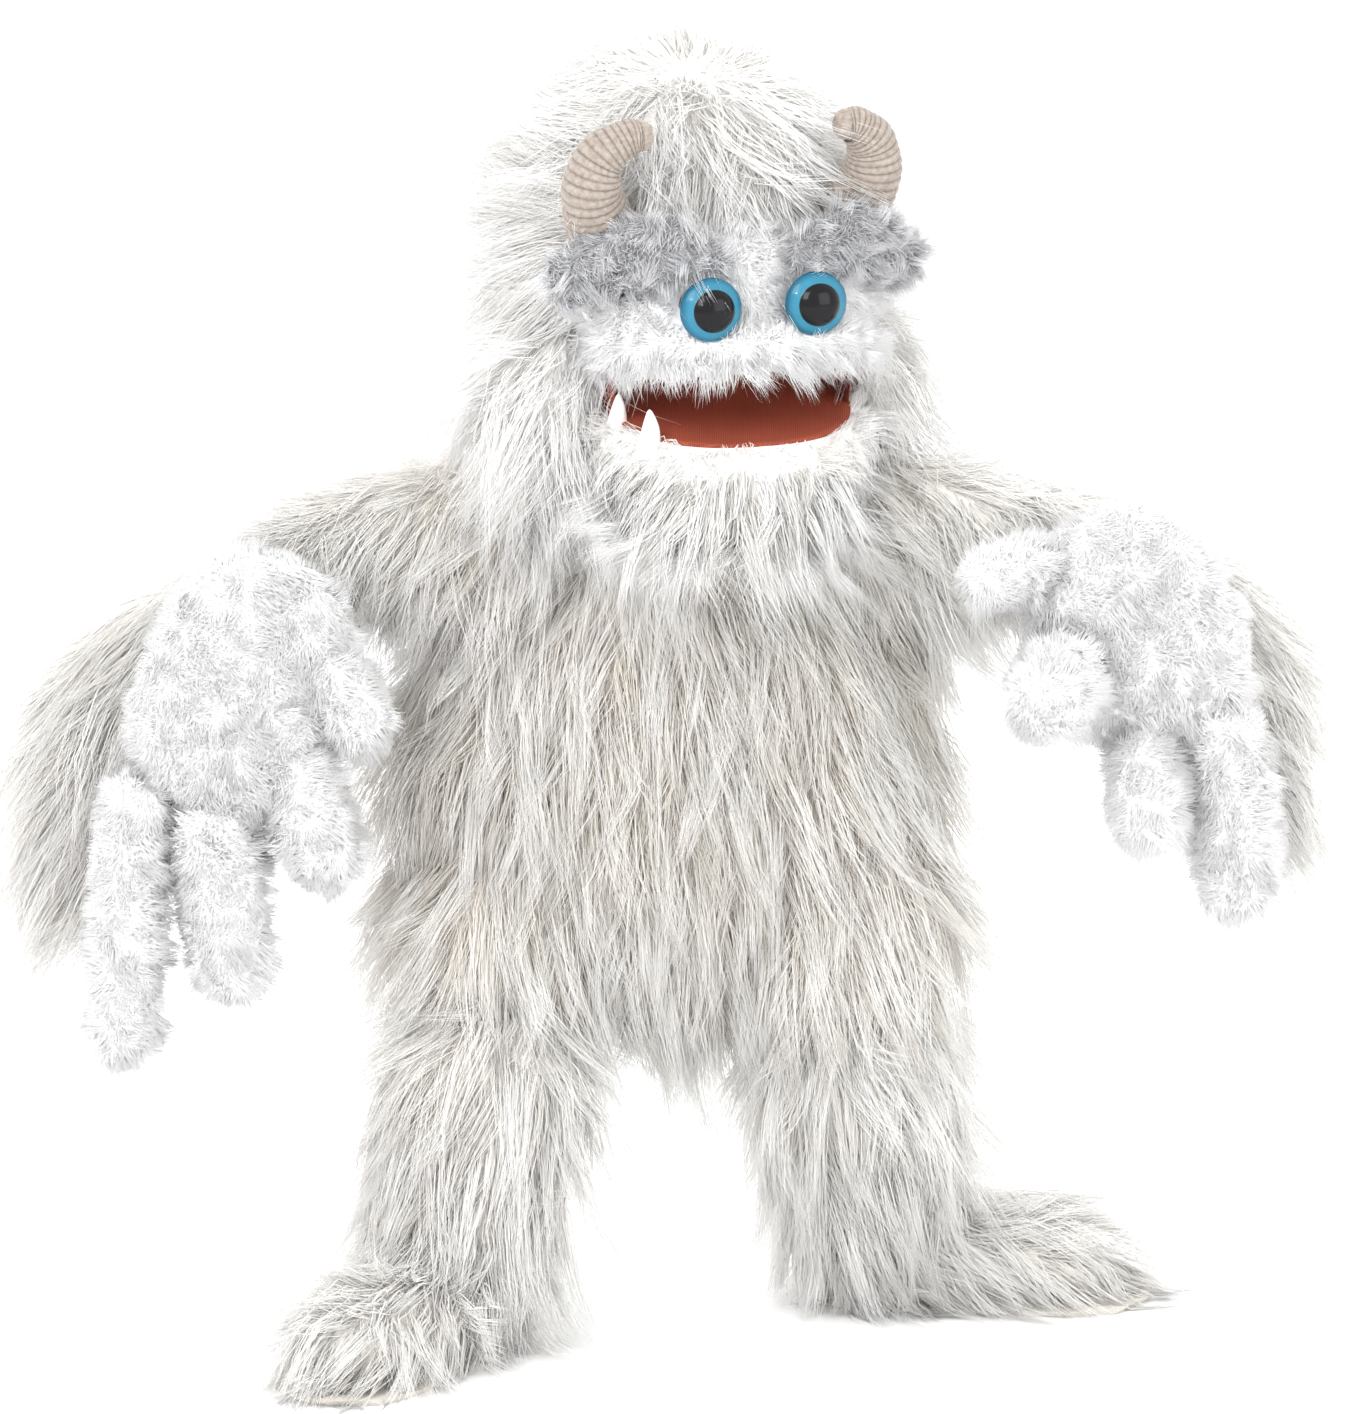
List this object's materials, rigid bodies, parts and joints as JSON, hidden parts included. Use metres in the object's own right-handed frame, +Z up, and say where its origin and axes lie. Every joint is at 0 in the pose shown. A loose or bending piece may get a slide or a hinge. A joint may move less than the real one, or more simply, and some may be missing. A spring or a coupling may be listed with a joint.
{
  "type": "moving mouth puppet",
  "caption": "Full-bodied shaggy yeti puppet with a moving mouth worked by a hand through the back, and glove hands.",
  "frame": {"origin": "on the floor, at the bottom centre of the bounding box, soles down", "axes": "+Z up the body, -Y the way the body faces, +X towards the puppet's left side"},
  "size_m": [0.5902, 0.2502, 0.618],
  "materials": {
    "long_cream_pile": "matte",
    "long_white_pile": "matte",
    "short_white_plush": "matte",
    "grey_curly_plush": "matte",
    "polyester_fill": "matte",
    "foam": "matte",
    "lining_cloth": "matte",
    "mouth_cloth": "matte",
    "mouth_board": "matte",
    "horn_knit": "matte",
    "eye_plastic": "gloss",
    "washer_plastic": "matte",
    "tooth_plastic": "satin",
    "sole_cloth": "matte"
  },
  "bodies": {
    "torso": {"body_fur": "long_cream_pile", "body_stuffing": "polyester_fill", "body_lining": "lining_cloth"},
    "neck": {"neck_lining": "lining_cloth"},
    "head": {"head_fur": "long_white_pile", "head_foam": "foam", "muzzle_plush": "short_white_plush", "upper_mouth_lining": "mouth_cloth", "upper_mouth_board": "mouth_board", "finger_pocket": "lining_cloth", "right_eye": "eye_plastic", "right_eye_washer": "washer_plastic", "right_horn": "horn_knit", "right_brow": "grey_curly_plush", "left_eye": "eye_plastic", "left_eye_washer": "washer_plastic", "left_horn": "horn_knit", "left_brow": "grey_curly_plush"},
    "jaw": {"lower_mouth_lining": "mouth_cloth", "lower_mouth_board": "mouth_board", "chin_plush": "short_white_plush", "thumb_pocket": "lining_cloth", "beard_fur": "long_white_pile", "outer_tooth": "tooth_plastic", "inner_tooth": "tooth_plastic"},
    "right_upper_arm": {"right_upper_arm": "long_cream_pile"},
    "right_forearm": {"right_forearm": "long_cream_pile"},
    "right_hand": {"right_hand_back": "long_cream_pile", "right_palm": "short_white_plush"},
    "right_thumb": {"right_thumb": "short_white_plush"},
    "right_first_finger": {"right_first_finger": "short_white_plush"},
    "right_middle_finger": {"right_middle_finger": "short_white_plush"},
    "right_little_finger": {"right_little_finger": "short_white_plush"},
    "left_upper_arm": {"left_upper_arm": "long_cream_pile"},
    "left_forearm": {"left_forearm": "long_cream_pile"},
    "left_hand": {"left_hand_back": "long_cream_pile", "left_palm": "short_white_plush"},
    "left_thumb": {"left_thumb": "short_white_plush"},
    "left_first_finger": {"left_first_finger": "short_white_plush"},
    "left_middle_finger": {"left_middle_finger": "short_white_plush"},
    "left_little_finger": {"left_little_finger": "short_white_plush"},
    "right_leg": {"right_leg_fur": "long_cream_pile", "right_leg_stuffing": "polyester_fill"},
    "right_foot": {"right_foot": "long_cream_pile", "right_sole": "sole_cloth"},
    "left_leg": {"left_leg_fur": "long_cream_pile", "left_leg_stuffing": "polyester_fill"},
    "left_foot": {"left_foot": "long_cream_pile", "left_sole": "sole_cloth"}
  },
  "joints": [
    {"name": "head_turn", "type": "hinge", "parent": "torso", "child": "neck", "pos_m": [-0.00192, 0.0388, 0.402], "axis": [0, 0, 1], "range_deg": [-40, 8]},
    {"name": "head_tip_back", "type": "hinge", "parent": "neck", "child": "head", "pos_m": [-0.00192, 0.0388, 0.426], "axis": [-0.9397, -0.342, 0], "range_deg": [-10, 15]},
    {"name": "mouth_open", "type": "hinge", "parent": "head", "child": "jaw", "pos_m": [0.00879, 0.0091, 0.455], "axis": [0.9397, 0.342, 0], "range_deg": [-19, 12]},
    {"name": "right_shoulder_raise", "type": "hinge", "parent": "torso", "child": "right_upper_arm", "pos_m": [-0.11492, 0.0258, 0.378], "axis": [0, 1, 0], "range_deg": [-10, 50]},
    {"name": "right_elbow_straighten", "type": "hinge", "parent": "right_upper_arm", "child": "right_forearm", "pos_m": [-0.16692, 0.0198, 0.366], "axis": [1, 0, 0], "range_deg": [-60, 15]},
    {"name": "right_wrist_bend", "type": "hinge", "parent": "right_forearm", "child": "right_hand", "pos_m": [-0.20892, 0.0118, 0.342], "axis": [0, 1, 0], "range_deg": [-12, 20]},
    {"name": "right_thumb_curl", "type": "hinge", "parent": "right_hand", "child": "right_thumb", "pos_m": [-0.16292, -0.0442, 0.328], "axis": [-0.784, 0, -0.6207], "range_deg": [-5, 40]},
    {"name": "right_first_finger_curl", "type": "hinge", "parent": "right_hand", "child": "right_first_finger", "pos_m": [-0.17292, -0.0442, 0.278], "axis": [-0.9383, 0, -0.3457], "range_deg": [-10, 60]},
    {"name": "right_middle_finger_curl", "type": "hinge", "parent": "right_hand", "child": "right_middle_finger", "pos_m": [-0.20992, -0.0442, 0.25], "axis": [-0.9912, 0, -0.1322], "range_deg": [-10, 70]},
    {"name": "right_little_finger_curl", "type": "hinge", "parent": "right_hand", "child": "right_little_finger", "pos_m": [-0.24592, -0.0422, 0.262], "axis": [-0.9972, 0, 0.0753], "range_deg": [-10, 70]},
    {"name": "left_shoulder_raise", "type": "hinge", "parent": "torso", "child": "left_upper_arm", "pos_m": [0.11508, 0.0258, 0.378], "axis": [0, -1, 0], "range_deg": [-10, 50]},
    {"name": "left_elbow_straighten", "type": "hinge", "parent": "left_upper_arm", "child": "left_forearm", "pos_m": [0.16308, 0.0198, 0.372], "axis": [1, 0, 0], "range_deg": [-60, 15]},
    {"name": "left_wrist_bend", "type": "hinge", "parent": "left_forearm", "child": "left_hand", "pos_m": [0.21108, 0.0118, 0.358], "axis": [0, -1, 0], "range_deg": [-12, 20]},
    {"name": "left_thumb_curl", "type": "hinge", "parent": "left_hand", "child": "left_thumb", "pos_m": [0.16108, -0.0482, 0.372], "axis": [0, 0, 1], "range_deg": [-5, 25]},
    {"name": "left_first_finger_curl", "type": "hinge", "parent": "left_hand", "child": "left_first_finger", "pos_m": [0.17508, -0.0502, 0.33], "axis": [-0.7682, 0, 0.6402], "range_deg": [-10, 30]},
    {"name": "left_middle_finger_curl", "type": "hinge", "parent": "left_hand", "child": "left_middle_finger", "pos_m": [0.20908, -0.0482, 0.29], "axis": [-0.9975, 0, -0.0712], "range_deg": [-10, 40]},
    {"name": "left_little_finger_curl", "type": "hinge", "parent": "left_hand", "child": "left_little_finger", "pos_m": [0.24608, -0.0422, 0.296], "axis": [-0.9932, 0, -0.1168], "range_deg": [-10, 60]},
    {"name": "right_hip_swing", "type": "hinge", "parent": "torso", "child": "right_leg", "pos_m": [-0.08692, 0.0198, 0.122], "axis": [-1, 0, 0], "range_deg": [-25, 30]},
    {"name": "right_ankle_flex", "type": "hinge", "parent": "right_leg", "child": "right_foot", "pos_m": [-0.10092, 0.0038, 0.052], "axis": [-0.8523, 0.523, 0], "range_deg": [-15, 15]},
    {"name": "left_hip_swing", "type": "hinge", "parent": "torso", "child": "left_leg", "pos_m": [0.08108, 0.0438, 0.122], "axis": [-1, 0, 0], "range_deg": [-25, 30]},
    {"name": "left_ankle_flex", "type": "hinge", "parent": "left_leg", "child": "left_foot", "pos_m": [0.08908, 0.0698, 0.052], "axis": [0.0196, -0.9998, 0], "range_deg": [-15, 15]}
  ]
}
